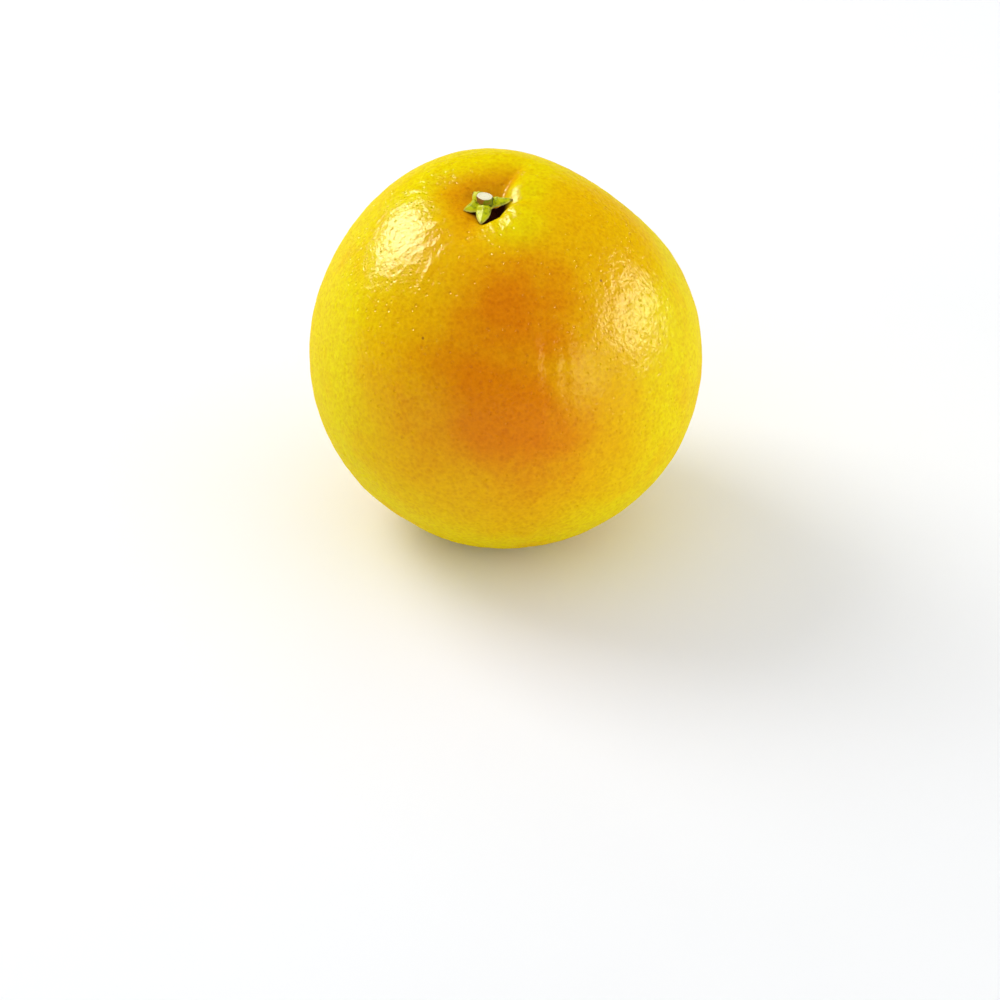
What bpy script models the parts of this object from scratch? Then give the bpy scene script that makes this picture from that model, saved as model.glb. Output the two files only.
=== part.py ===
"""Whole pomelo with its calyx and cut stem stub, resting on a small flat spot.

Metres, +Z up, front towards -Y. The origin lies on the flat spot, straight below the centre of
the fruit. The fruit is a round form about a leaning stem axis. Places round that axis are given
by an arc length from the stem and by a turn, with 0 degrees on the right and 90 at the back.
"""

import math

import bmesh
import bpy
import numpy as np
from mathutils import Matrix, Vector

MM = 0.001
TOUCHING_GAP = 0.3 * MM
SHARP_ANGLE = math.radians(35)

# The fruit's round form. The radius is FRUIT_RADIUS times a sum of cosines of the angle from
# the stem: the blossom half is fuller, and the form is a little longer than it is wide.
FRUIT_RADIUS = 78.2 * MM
BLOSSOM_FULLNESS = 0.024
LENGTHENING = 0.0125
STEM_NECK = 0.0155
STEM_LEAN = math.radians(10.7)
STEM_LEAN_TOWARDS = math.radians(236)
FLAT_SPOT_DEPTH = 2.8 * MM

# Broad swells of the form: heading from +X, elevation, height and spread as an angle.
SWELLS = (
    (math.radians(40), math.radians(45), -4.4 * MM, math.radians(30)),
    (math.radians(124), math.radians(52), 1.6 * MM, math.radians(30)),
)

# The hollow at the stem: a broad basin with a narrow pit in it, each a depth and a width.
BASIN = (5.0 * MM, 24 * MM)
PIT = (4.2 * MM, 8.5 * MM)

# Folds that run out from the stem: turn, height (a furrow is below zero), half-width across,
# arc length from the stem to the middle, and half-length.
FOLDS = (
    (math.radians(62), -2.4 * MM, 7 * MM, 20 * MM, 16 * MM),
    (math.radians(30), 1.5 * MM, 6 * MM, 30 * MM, 18 * MM),
    (math.radians(222), -1.3 * MM, 7 * MM, 28 * MM, 18 * MM),
    (math.radians(150), -1.3 * MM, 8 * MM, 18 * MM, 14 * MM),
    (math.radians(250), -2.2 * MM, 8 * MM, 11 * MM, 8 * MM),
    (math.radians(318), 1.4 * MM, 6 * MM, 13 * MM, 6 * MM),
)

# Rings and segments of the fruit's mesh. The rings crowd towards the stem.
FRUIT_SEGMENTS = 72
FRUIT_RINGS = 40
RING_CROWDING = 0.4

# The calyx: a low button with pointed lobes, each a turn, a reach and a half-width.
CALYX_LOBES = (
    (math.radians(4), 11.0 * MM, math.radians(40)),
    (math.radians(109), 9.4 * MM, math.radians(44)),
    (math.radians(197), 9.2 * MM, math.radians(38)),
    (math.radians(258), 11.2 * MM, math.radians(40)),
    (math.radians(320), 5.8 * MM, math.radians(30)),
)
CALYX_WAIST = 4.2 * MM
CALYX_THICKNESS = 1.2 * MM
CALYX_CLEARANCE = 0.5 * MM
BUTTON_RADIUS = 4.6 * MM
BUTTON_HEIGHT = 1.6 * MM
LOBE_EDGE_ROUNDING = 0.7
LOBE_POINTEDNESS = 1.3
CALYX_SEGMENTS = 60
CALYX_RINGS = 12

# The stem stub, a short turned peg with a flared foot and a slightly rounded cut rim.
STUB_RADIUS = 3.15 * MM
STUB_FOOT_RADIUS = 3.6 * MM
STUB_LENGTH = 4.2 * MM
STUB_RIM = 0.3 * MM
STUB_SEGMENTS = 32


def direction(heading, elevation):
    """Unit vector at a heading from +X and an elevation above the floor."""
    level = math.cos(elevation)
    return np.array([level * math.cos(heading), level * math.sin(heading), math.sin(elevation)])


def stem_frame():
    """Columns right, back and up of the frame that stands on the stem axis."""
    up = direction(STEM_LEAN_TOWARDS, math.pi / 2 - STEM_LEAN)
    right = np.array([1.0, 0.0, 0.0])
    right -= up * (right @ up)
    right /= np.linalg.norm(right)
    return np.stack([right, np.cross(up, right), up], axis=1)


def fruit_radius(polar, turn):
    """Distance from the fruit's centre to its skin, for angles about the stem axis."""
    radius = FRUIT_RADIUS * (
        1.0
        - BLOSSOM_FULLNESS * np.cos(polar)
        + LENGTHENING * np.cos(2 * polar)
        + STEM_NECK * np.cos(3 * polar)
    )
    arc = FRUIT_RADIUS * polar
    for depth, width in (BASIN, PIT):
        radius = radius - depth * np.exp(-((arc / width) ** 2))
    for fold_turn, height, half_width, middle, half_length in FOLDS:
        away = np.angle(np.exp(1j * (turn - fold_turn)))
        across = FRUIT_RADIUS * np.sin(polar) * away
        radius = radius + height * np.exp(
            -((across / half_width) ** 2) - ((arc - middle) / half_length) ** 2
        )
    skin = np.stack([np.sin(polar) * np.cos(turn), np.sin(polar) * np.sin(turn), np.cos(polar)], -1)
    headings = skin @ stem_frame().T
    for heading, elevation, height, spread in SWELLS:
        off = np.arccos(np.clip(headings @ direction(heading, elevation), -1.0, 1.0))
        radius = radius + height * np.exp(-((off / spread) ** 2))
    return radius


def fruit_centre_height():
    """Height of the fruit's centre when the flat spot lies on the floor."""
    polar, turn = np.meshgrid(np.linspace(0, math.pi, 361), np.linspace(0, 2 * math.pi, 361))
    skin = np.stack([np.sin(polar) * np.cos(turn), np.sin(polar) * np.sin(turn), np.cos(polar)], -1)
    heights = (skin @ stem_frame().T)[..., 2] * fruit_radius(polar, turn)
    return -heights.min() - FLAT_SPOT_DEPTH


def stem_placement():
    """Matrix that carries the stem frame, with the fruit's centre at its origin, to the world."""
    placement = Matrix(stem_frame().tolist()).to_4x4()
    placement.translation = Vector((0, 0, fruit_centre_height()))
    return placement


def skin_height(reach, turn):
    """Height of the skin along the stem axis at a small distance from that axis."""
    polar = reach / FRUIT_RADIUS
    for _ in range(8):
        polar = np.arcsin(np.clip(reach / fruit_radius(polar, turn), 0.0, 1.0))
    return fruit_radius(polar, turn) * np.cos(polar)


def principled(name, colour, roughness):
    """Non-metallic Principled material."""
    material = bpy.data.materials.new(name)
    material.use_nodes = True
    shader = material.node_tree.nodes["Principled BSDF"]
    shader.inputs["Base Color"].default_value = (*colour, 1.0)
    shader.inputs["Roughness"].default_value = roughness
    shader.inputs["Metallic"].default_value = 0.0
    return material


def named_object(name, mesh_builder, material, collection):
    """Smooth-shaded object made from a bmesh, which is freed."""
    mesh = bpy.data.meshes.new(name)
    bmesh.ops.recalc_face_normals(mesh_builder, faces=mesh_builder.faces)
    mesh_builder.to_mesh(mesh)
    mesh_builder.free()
    mesh.shade_smooth()
    mesh.set_sharp_from_angle(angle=SHARP_ANGLE)
    mesh.materials.append(material)
    piece = bpy.data.objects.new(name, mesh)
    collection.objects.link(piece)
    return piece


def polar_places(mesh_builder):
    """Polar angle and turn of every vertex of a unit sphere, as arrays."""
    places = np.array([vertex.co for vertex in mesh_builder.verts])
    polar = np.arccos(np.clip(places[:, 2], -1.0, 1.0))
    return polar, np.arctan2(places[:, 1], places[:, 0])


def move_vertices(mesh_builder, places):
    """Give the vertices new places, in their own order."""
    for vertex, place in zip(mesh_builder.verts, places):
        vertex.co = place


def build_fruit(collection):
    """The fruit: a UV sphere drawn out to the form, then cut level at the flat spot."""
    sphere = bmesh.new()
    bmesh.ops.create_uvsphere(
        sphere, u_segments=FRUIT_SEGMENTS, v_segments=FRUIT_RINGS, radius=1.0
    )
    polar, turn = polar_places(sphere)
    polar = polar - RING_CROWDING * np.sin(polar)
    radius = fruit_radius(polar, turn)
    skin = np.stack(
        [
            radius * np.sin(polar) * np.cos(turn),
            radius * np.sin(polar) * np.sin(turn),
            radius * np.cos(polar),
        ],
        axis=1,
    )
    move_vertices(sphere, skin)
    bmesh.ops.transform(sphere, matrix=stem_placement(), verts=sphere.verts)
    cut = bmesh.ops.bisect_plane(
        sphere,
        geom=sphere.verts[:] + sphere.edges[:] + sphere.faces[:],
        plane_co=(0, 0, 0),
        plane_no=(0, 0, 1),
        clear_inner=True,
    )
    rim = [item for item in cut["geom_cut"] if isinstance(item, bmesh.types.BMEdge)]
    bmesh.ops.contextual_create(sphere, geom=rim)
    material = principled("rind", (0.78, 0.50, 0.02), 0.38)
    return named_object("fruit", sphere, material, collection)


def calyx_outline(turn):
    """Distance from the stem axis to the calyx's edge: a waist with pointed lobes on it."""
    edge = np.full_like(turn, CALYX_WAIST)
    for lobe_turn, reach, half_width in CALYX_LOBES:
        away = np.abs(np.angle(np.exp(1j * (turn - lobe_turn)))) / half_width
        point = np.clip(1.0 - away, 0.0, 1.0) ** LOBE_POINTEDNESS
        edge = np.maximum(edge, CALYX_WAIST + (reach - CALYX_WAIST) * point)
    return edge


def button_top_height():
    """Height of the calyx's flat top along the stem axis."""
    pit_floor = float(skin_height(np.array(0.0), np.array(0.0)))
    return pit_floor + CALYX_CLEARANCE + CALYX_THICKNESS + BUTTON_HEIGHT


def build_calyx(collection):
    """The calyx: a UV sphere pressed to a lobed lens that lies just above the skin."""
    lens = bmesh.new()
    bmesh.ops.create_uvsphere(
        lens, u_segments=CALYX_SEGMENTS, v_segments=CALYX_RINGS, radius=1.0
    )
    polar, turn = polar_places(lens)
    reach = calyx_outline(turn) * np.sin(polar)
    under = skin_height(reach, turn) + CALYX_CLEARANCE
    blade = CALYX_THICKNESS * np.abs(np.cos(polar)) ** LOBE_EDGE_ROUNDING
    button = button_top_height() - under
    rise = np.clip((BUTTON_RADIUS - reach) / (BUTTON_RADIUS - STUB_FOOT_RADIUS), 0.0, 1.0)
    height = np.where(polar < math.pi / 2, blade + (button - blade) * rise, 0.0)
    places = np.stack([reach * np.cos(turn), reach * np.sin(turn), under + height], axis=1)
    move_vertices(lens, places)
    bmesh.ops.transform(lens, matrix=stem_placement(), verts=lens.verts)
    material = principled("calyx_green", (0.33, 0.42, 0.05), 0.55)
    return named_object("calyx", lens, material, collection)


def build_stem_stub(collection):
    """The stem stub: a profile turned about the stem axis, with a flared foot."""
    foot = button_top_height() + TOUCHING_GAP
    top = foot + STUB_LENGTH
    profile = (
        (0.0, top),
        (STUB_RADIUS - STUB_RIM, top),
        (STUB_RADIUS, top - STUB_RIM),
        (STUB_RADIUS, foot + STUB_LENGTH / 2),
        (STUB_FOOT_RADIUS - STUB_RIM, foot + STUB_RIM),
        (STUB_FOOT_RADIUS - STUB_RIM, foot),
        (0.0, foot),
    )
    mesh = bpy.data.meshes.new("stem_stub")
    edges = [(index, index + 1) for index in range(len(profile) - 1)]
    mesh.from_pydata([(radius, 0.0, height) for radius, height in profile], edges, [])
    mesh.materials.append(principled("stalk", (0.50, 0.42, 0.22), 0.7))
    stub = bpy.data.objects.new("stem_stub", mesh)
    stub.matrix_world = stem_placement()
    collection.objects.link(stub)
    turning = stub.modifiers.new("turning", "SCREW")
    turning.steps = STUB_SEGMENTS
    turning.render_steps = STUB_SEGMENTS
    turning.use_merge_vertices = True
    turning.merge_threshold = 0.01 * MM
    return stub


def main():
    """Build the pomelo in a collection of its own."""
    for old in list(bpy.data.objects):
        bpy.data.objects.remove(old, do_unlink=True)
    collection = bpy.data.collections.new("pomelo")
    bpy.context.scene.collection.children.link(collection)
    build_fruit(collection)
    build_calyx(collection)
    build_stem_stub(collection)


main()
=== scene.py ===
"""Looks of a whole ripe pomelo that rests on a pale floor, with its calyx and cut stalk.

Metres, +Z up, front towards -Y. The fruit is a round form about a leaning stem axis. Places
beside the stem are flat polar coordinates: the arc length from the stem laid off along the
turn, where a turn of 0 degrees is the fruit's right and 90 degrees its back.
"""

import logging
import math
from dataclasses import dataclass, field
from enum import Enum, IntEnum

import bpy
import numpy as np
from mathutils import Matrix, Vector


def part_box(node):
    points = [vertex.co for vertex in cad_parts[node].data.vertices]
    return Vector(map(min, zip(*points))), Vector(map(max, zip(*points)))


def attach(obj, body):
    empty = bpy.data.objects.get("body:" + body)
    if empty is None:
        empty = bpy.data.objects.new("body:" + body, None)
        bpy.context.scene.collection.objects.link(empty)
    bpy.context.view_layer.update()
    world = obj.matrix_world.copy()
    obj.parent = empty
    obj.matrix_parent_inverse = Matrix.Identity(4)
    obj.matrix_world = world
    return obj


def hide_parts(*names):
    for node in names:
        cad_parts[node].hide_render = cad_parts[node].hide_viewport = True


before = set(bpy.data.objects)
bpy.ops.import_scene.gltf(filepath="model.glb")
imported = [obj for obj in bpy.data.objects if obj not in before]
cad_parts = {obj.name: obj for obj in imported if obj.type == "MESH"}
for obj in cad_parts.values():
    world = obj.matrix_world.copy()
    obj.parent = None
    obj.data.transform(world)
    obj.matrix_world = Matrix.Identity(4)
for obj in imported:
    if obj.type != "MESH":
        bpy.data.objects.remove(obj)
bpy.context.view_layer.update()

MM = 0.001
FULL_TURN = 2.0 * math.pi
Array = np.ndarray
Socket = bpy.types.NodeSocket
Colour = tuple[float, float, float]
Heading = tuple[float, float, float]
Pair = tuple[float, float]
Pairs = tuple[Pair, ...]
Triples = tuple[tuple[float, float, float], ...]
log = logging.getLogger("pomelo")


class Slot(Enum):
    """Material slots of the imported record."""

    RIND = "rind"
    CALYX = "calyx_green"
    STALK = "stalk"


class Relief(Enum):
    """Whether a fold stands out of the skin or sinks into it."""

    RIDGE = 1.0
    FURROW = -1.0


class Throw(Enum):
    """Whether a softbox lights surfaces or is only mirrored in their gloss."""

    GLOW = "glow"
    SHINE = "shine"


class Seed(IntEnum):
    """Random fields of the rough pieces; skin and ribs count up from theirs."""

    SKIN = 0
    WRINKLES = 40
    CALYX_EDGE = 51
    CALYX_TOP = 60
    STALK_RIBS = 70
    STALK_FACE = 72


# ---------------------------------------------------------------- surfaces as whole arrays


AXIS_PRIMES = (73856093, 19349663, 83492791)
SEED_PRIME = 2654435761
SCRAMBLES = ((15, 2246822519), (13, 3266489917))
LAST_SHIFT = 16
LOW_BITS = 0xFFFFFFFF


def lattice_value(cells: Array, seed: int) -> Array:
    """Fixed random number for each lattice corner.

    The three whole coordinates are multiplied by large primes, joined by exclusive or with
    the seed, and scrambled; the low bits give the number.

    Args:
        cells: Whole coordinates of the corners, shape (..., 3).
        seed: Which random field to take.

    Returns:
        Numbers from -1 to 1, shape (...).
    """
    whole = cells.astype(np.int64)
    right, back, up = (whole[..., axis] * prime for axis, prime in enumerate(AXIS_PRIMES))
    mixed = (right ^ back ^ up ^ (int(seed) * SEED_PRIME)) & LOW_BITS
    for shift, factor in SCRAMBLES:
        mixed = (mixed ^ (mixed >> shift)) * factor & LOW_BITS
    return (mixed ^ (mixed >> LAST_SHIFT)) / float(LOW_BITS // 2) - 1.0


def value_noise(points: Array, wavelength: float, seed: int) -> Array:
    """Smooth random field in space.

    Each point takes the random numbers at the eight corners of its lattice cell, weighted
    along each axis by the quintic step 6t^5 - 15t^4 + 10t^3.

    Args:
        points: Places, shape (..., 3).
        wavelength: Side of a lattice cell, in the unit of the points.
        seed: Which random field to take.

    Returns:
        Values from -1 to 1, shape (...).
    """
    scaled = points / wavelength
    cell = np.floor(scaled)
    step = scaled - cell
    step = step**3 * (step * (step * 6.0 - 15.0) + 10.0)
    total = np.zeros(points.shape[:-1])
    for corner in np.ndindex(2, 2, 2):
        offset = np.array(corner)
        weight = np.prod(np.where(offset == 1, step, 1.0 - step), axis=-1)
        total += weight * lattice_value(cell + offset, seed)
    return total


def smooth_step(value: Array, low: float, high: float) -> Array:
    """Cubic step 3t^2 - 2t^3 of a value, where t runs from 0 at low to 1 at high."""
    share = np.clip((value - low) / (high - low), 0.0, 1.0)
    return share * share * (3.0 - 2.0 * share)


def bell(distance: Array, half_width: float) -> Array:
    """Bell curve exp(-(d/w)^2) of a distance, 1 in the middle."""
    return np.exp(-((distance / half_width) ** 2))


def round_axis(reach: Array | float, turn: Array, height: Array) -> Array:
    """Points at a distance from an upright axis, at a turn round it and at a height."""
    return np.stack([reach * np.cos(turn), reach * np.sin(turn), height], axis=-1)


def turned_grid(rows: Array, columns: int) -> list[Array]:
    """Each ring's value and the evenly spaced turns, both of shape (rings, columns)."""
    turns = np.linspace(0.0, FULL_TURN, columns, endpoint=False)
    return np.meshgrid(rows, turns, indexing="ij")


def unit_heading(heading: float, elevation: float) -> Array:
    """Unit vector of a heading and an elevation in degrees."""
    turn, rise = math.radians(heading), math.radians(elevation)
    level = math.cos(rise)
    return np.array([level * math.cos(turn), level * math.sin(turn), math.sin(rise)])


def ring_mesh(name: str, rows: Array, first_pole: Array, last_pole: Array) -> bpy.types.Mesh:
    """Closed mesh from rings of points between two poles.

    Neighbouring rings are joined by quads, the last column to the first, and each pole is
    joined to its ring by a fan of triangles.

    Args:
        name: Name of the mesh.
        rows: Ring points, shape (rings, columns, 3), turning counter-clockwise seen from
            the first pole.
        first_pole: Point that closes the first ring.
        last_pole: Point that closes the last ring.

    Returns:
        The smooth-shaded mesh, with its faces pointing out.
    """
    rings, columns = rows.shape[:2]
    points = np.concatenate([rows.reshape(-1, 3), first_pole[None], last_pole[None]])
    index = np.arange(rings * columns).reshape(rings, columns)
    after = np.roll(index, -1, axis=1)
    quads = np.stack([index[:-1], index[1:], after[1:], after[:-1]], axis=-1).reshape(-1, 4)
    top, bottom = rings * columns, rings * columns + 1
    top_fan = np.stack([np.full(columns, top), index[0], after[0]], axis=-1)
    bottom_fan = np.stack([np.full(columns, bottom), after[-1], index[-1]], axis=-1)
    mesh = bpy.data.meshes.new(name)
    faces = quads.tolist() + top_fan.tolist() + bottom_fan.tolist()
    mesh.from_pydata(points.tolist(), [], faces)
    mesh.validate()
    mesh.shade_smooth()
    return mesh


def store_attribute(mesh: bpy.types.Mesh, name: str, rows: Array, poles: Pair) -> None:
    """Put one number per vertex of a ring mesh into a named attribute.

    Args:
        mesh: Mesh that ring_mesh made.
        name: Name of the attribute.
        rows: Numbers of the ring points, shape (rings, columns).
        poles: Numbers of the first and the last pole.
    """
    attribute = mesh.attributes.new(name, "FLOAT", "POINT")
    values = np.concatenate([rows.ravel(), np.array(poles)])
    attribute.data.foreach_set("value", values.astype(np.float32))


def place_piece(name: str, mesh: bpy.types.Mesh, node: str) -> bpy.types.Object:
    """Make a mesh a piece of the object that stands for a node of the frame.

    Args:
        name: Name of the piece.
        mesh: Its mesh, in the frame's own coordinates.
        node: Node that it replaces.

    Returns:
        The piece, at the origin.
    """
    piece = bpy.data.objects.new(name, mesh)
    bpy.context.scene.collection.objects.link(piece)
    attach(piece, "root")
    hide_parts(node)
    log.info("%s stands for %s with %d faces", name, node, len(mesh.polygons))
    return piece


# ---------------------------------------------------------------- materials


# Numbers of the Mix node's sockets for colours, whose names its other kinds share.
MIX_SHARE, MIX_FIRST, MIX_SECOND, MIX_RESULT = 0, 6, 7, 2
CELL_RANDOMNESS = 0.9


class Graph:
    """Node graph of one Principled material, with short calls for the nodes it uses."""

    def __init__(self, name: str) -> None:
        """Make the material, with its shader and object coordinates.

        Args:
            name: Name of the material.
        """
        self.material = bpy.data.materials.new(name)
        self.material.use_nodes = True
        self.tree = self.material.node_tree
        self.shader = self.tree.nodes["Principled BSDF"]
        self.place = self.tree.nodes.new("ShaderNodeTexCoord").outputs["Object"]

    def add(self, kind: str, inputs: dict[str | int, object], **settings: object) -> bpy.types.Node:
        """Add a node, set its options and fill or link its inputs.

        Args:
            kind: Blender's type name of the node.
            inputs: Input name or number to a plain value or to the socket to link.
            settings: Options of the node.

        Returns:
            The node.
        """
        node = self.tree.nodes.new(kind)
        for option, value in settings.items():
            setattr(node, option, value)
        for key, value in inputs.items():
            if isinstance(value, Socket):
                self.tree.links.new(value, node.inputs[key])
            else:
                node.inputs[key].default_value = value
        return node

    def noise(self, wavelength: float, detail: float = 2.0, warp: float = 0.0) -> Socket:
        """Noise on object coordinates, from about 0 to 1, with waves of that length."""
        inputs = {"Vector": self.place, "Scale": 1.0 / wavelength}
        inputs |= {"Detail": detail, "Distortion": warp}
        return self.add("ShaderNodeTexNoise", inputs).outputs["Fac"]

    def cells(self, pitch: float) -> bpy.types.Node:
        """Voronoi cells of that pitch on object coordinates."""
        inputs = {"Vector": self.place, "Scale": 1.0 / pitch, "Randomness": CELL_RANDOMNESS}
        return self.add("ShaderNodeTexVoronoi", inputs)

    def attribute(self, name: str) -> Socket:
        """Number that the mesh stores under a name."""
        return self.add("ShaderNodeAttribute", {}, attribute_name=name).outputs["Fac"]

    def fit(self, value: Socket, low: float, high: float,
            to_low: float = 0.0, to_high: float = 1.0) -> Socket:
        """Smooth step of a value between two limits, scaled to two others."""
        inputs = {"Value": value, "From Min": low, "From Max": high}
        inputs |= {"To Min": to_low, "To Max": to_high}
        node = self.add("ShaderNodeMapRange", inputs, interpolation_type="SMOOTHSTEP")
        return node.outputs["Result"]

    def maths(self, operation: str, first: object, second: object) -> Socket:
        """Result of one of the Math node's operations on two numbers."""
        node = self.add("ShaderNodeMath", {0: first, 1: second}, operation=operation)
        return node.outputs["Value"]

    def vector(self, operation: str, *vectors: object) -> bpy.types.Node:
        """Vector Math node of an operation on one or two vectors."""
        return self.add("ShaderNodeVectorMath", dict(enumerate(vectors)), operation=operation)

    def blend(self, share: object, first: object, second: object, how: str = "MIX") -> Socket:
        """Colour between two colours, or one laid over the other by a blend type."""
        inputs = {MIX_SHARE: share, MIX_FIRST: as_colour(first), MIX_SECOND: as_colour(second)}
        node = self.add("ShaderNodeMix", inputs, data_type="RGBA", blend_type=how)
        return node.outputs[MIX_RESULT]

    def bump(self, height: Socket, depth: float, under: Socket | None = None) -> Socket:
        """Normal of a height pattern of that full depth, over another bump if one is given."""
        inputs = {"Height": height, "Distance": depth, "Strength": 1.0}
        if under is not None:
            inputs["Normal"] = under
        return self.add("ShaderNodeBump", inputs).outputs["Normal"]

    def finish(self, colour: object, roughness: object, normal: Socket,
               **constants: float) -> bpy.types.Material:
        """Link the pattern to the shader and set what is the same all over.

        Args:
            colour: Socket or plain colour of the surface.
            roughness: Socket or number.
            normal: Socket of the last bump.
            constants: Shader inputs by name, with underscores for spaces.

        Returns:
            The finished material.
        """
        for key, value in (("Base Color", colour), ("Roughness", roughness), ("Normal", normal)):
            if isinstance(value, Socket):
                self.tree.links.new(value, self.shader.inputs[key])
            else:
                self.shader.inputs[key].default_value = value
        for key, value in constants.items():
            self.shader.inputs[key.replace("_", " ")].default_value = value
        return self.material


def as_colour(value: object) -> object:
    """A plain colour with its alpha, or the socket as it is."""
    return value if isinstance(value, Socket) else (*value, 1.0)


@dataclass(frozen=True)
class RindFinish:
    """Waxy golden rind, full of fine oil glands.

    Headings are unit vectors from the fruit's centre. A pitch is the length of a pattern's
    waves or cells, and a share says how strongly a colour covers what is under it.
    """

    sunny: Colour = (0.84, 0.69, 0.001)
    golden: Colour = (0.84, 0.45, 0.001)
    # Partly the rind's own orange blush, partly painted shade on the front and in the hollows.
    blush_and_shade: Colour = (0.76, 0.235, 0.001)
    # Painted shadow: the near-black of the pit round the stem.
    pit_shadow: Colour = (0.06, 0.011, 0.004)
    gland_tint: Colour = (0.92, 0.83, 0.66)
    grain_tint: Colour = (0.95, 0.90, 0.83)
    mottle_tint: Colour = (0.96, 0.92, 0.87)
    scar: Colour = (0.28, 0.08, 0.01)
    gland_pitch: float = 1.9 * MM
    gland_depth: float = 0.07 * MM
    dimple_pitch: float = 3.4 * MM
    dimple_depth: float = 0.26 * MM
    pebble_pitch: float = 2.6 * MM
    pebble_depth: float = 0.42 * MM
    pebble_warp: float = 0.4
    waver_pitch: float = 30 * MM
    cloud_pitch: float = 20 * MM
    patch_pitch: float = 7 * MM
    grain_pitch: float = 1.1 * MM
    mottle_pitch: float = 2.8 * MM
    scar_pitch: float = 21 * MM
    gloss_pitch: float = 14 * MM
    roughness: Pair = (0.42, 0.52)
    coat: float = 0.1
    coat_roughness: float = 0.15
    coat_index: float = 1.8
    # Headings of the front, where the blush and its painted shade are strongest.
    blush_and_shade_heading: Heading = (-0.03, -0.976, 0.217)
    upper_blush_and_shade_heading: Heading = (0.05, -0.80, 0.594)
    gold_heading: Heading = (0.533, -0.179, 0.827)
    fleck_heading: Heading = (-0.4075, -0.7555, 0.513)
    upper_blush_and_shade_lag: float = 0.03
    waver: float = 0.05
    gold_share: float = 0.75
    cloud_share: float = 0.45
    hollow_shade_share: float = 0.7
    lit_wall_share: float = 0.95
    fleck_share: float = 0.75
    least_dots: float = 0.6

    def material(self, centre: Vector) -> bpy.types.Material:
        """Build the rind's material.

        Args:
            centre: The fruit's centre.

        Returns:
            The material.
        """
        graph = Graph("rind_finish")
        glands = graph.cells(self.gland_pitch)
        colour = self.speckle(graph, self.ground(graph, centre), glands)
        pebbles = graph.noise(self.pebble_pitch, detail=3.0, warp=self.pebble_warp)
        normal = graph.bump(pebbles, self.pebble_depth)
        pores = graph.fit(glands.outputs["Distance"], 0.0, 0.5)
        normal = graph.bump(pores, self.gland_depth, under=normal)
        pits = graph.cells(self.dimple_pitch)
        dimples = graph.fit(pits.outputs["Distance"], 0.04, 0.24)
        normal = graph.bump(dimples, self.dimple_depth, under=normal)
        graph.tree.links.new(normal, graph.shader.inputs["Coat Normal"])
        gloss = graph.noise(self.gloss_pitch, detail=4.0)
        return graph.finish(
            colour, graph.fit(gloss, 0.3, 0.7, *self.roughness), normal, Specular_IOR_Level=0.0,
            Coat_Weight=self.coat, Coat_Roughness=self.coat_roughness, Coat_IOR=self.coat_index,
        )

    def ground(self, graph: Graph, centre: Vector) -> Socket:
        """Colour under the glands.

        Sunny yellow, gold and then an orange blush where the skin turns towards the blush
        headings at the front; the blush is partly the rind's own colour and partly painted
        shade on the front, which gets less light. Then clouds of gold, an orange basin of
        painted shade in the hollows, a wall beside the pit painted brighter yellow as lit, a
        fleck, and a pit painted near black as shadow.

        Args:
            graph: Graph of the material.
            centre: The fruit's centre.

        Returns:
            The colour's socket.
        """
        offset = graph.vector("SUBTRACT", graph.place, centre).outputs[0]
        heading = graph.vector("NORMALIZE", offset).outputs[0]

        def closeness(target: Heading) -> Socket:
            """Cosine of the angle between a place's heading and a target heading."""
            return graph.vector("DOT_PRODUCT", heading, target).outputs["Value"]

        # Partly painted shade: the front, which gets less light, is painted deeper orange and the
        # sides and top paler yellow, over the rind's own blush.
        upper = graph.maths("SUBTRACT", closeness(self.upper_blush_and_shade_heading), self.upper_blush_and_shade_lag)
        facing = graph.maths("MAXIMUM", closeness(self.blush_and_shade_heading), upper)
        waver = graph.fit(graph.noise(self.waver_pitch, 3.0), 0.2, 0.8, -self.waver, self.waver)
        facing = graph.maths("ADD", facing, waver)
        colour = graph.blend(graph.fit(facing, 0.50, 0.92), self.sunny, self.golden)
        gold = graph.fit(closeness(self.gold_heading), 0.87, 0.99, 0.0, self.gold_share)
        clouds = graph.noise(self.cloud_pitch, detail=4.0)
        clouds = graph.fit(clouds, 0.45, 0.75, 0.0, self.cloud_share)
        colour = graph.blend(graph.maths("MAXIMUM", gold, clouds), colour, self.golden)
        colour = graph.blend(graph.fit(facing, 0.84, 1.0), colour, self.blush_and_shade)
        # Partly painted shade: the hollows and creases beside the stem are painted towards the
        # orange, more where deeper.
        hollow = graph.fit(graph.attribute("hollow"), 0.1, 0.8, 0.0, self.hollow_shade_share)
        colour = graph.blend(hollow, colour, self.blush_and_shade)
        # Partly painted light: the wall beside the pit that faces the key light is painted brighter
        # yellow.
        lit_wall = graph.fit(graph.attribute("lit_wall"), 0.0, 1.0, 0.0, self.lit_wall_share)
        colour = graph.blend(lit_wall, colour, self.sunny)
        fleck = closeness(self.fleck_heading)
        fleck = graph.fit(fleck, 0.99996, 0.99999, 0.0, self.fleck_share)
        colour = graph.blend(fleck, colour, self.scar)
        # Painted shadow: the pit round the stem, under the calyx, is painted near black.
        return graph.blend(graph.attribute("pit_shadow"), colour, self.pit_shadow)

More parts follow.
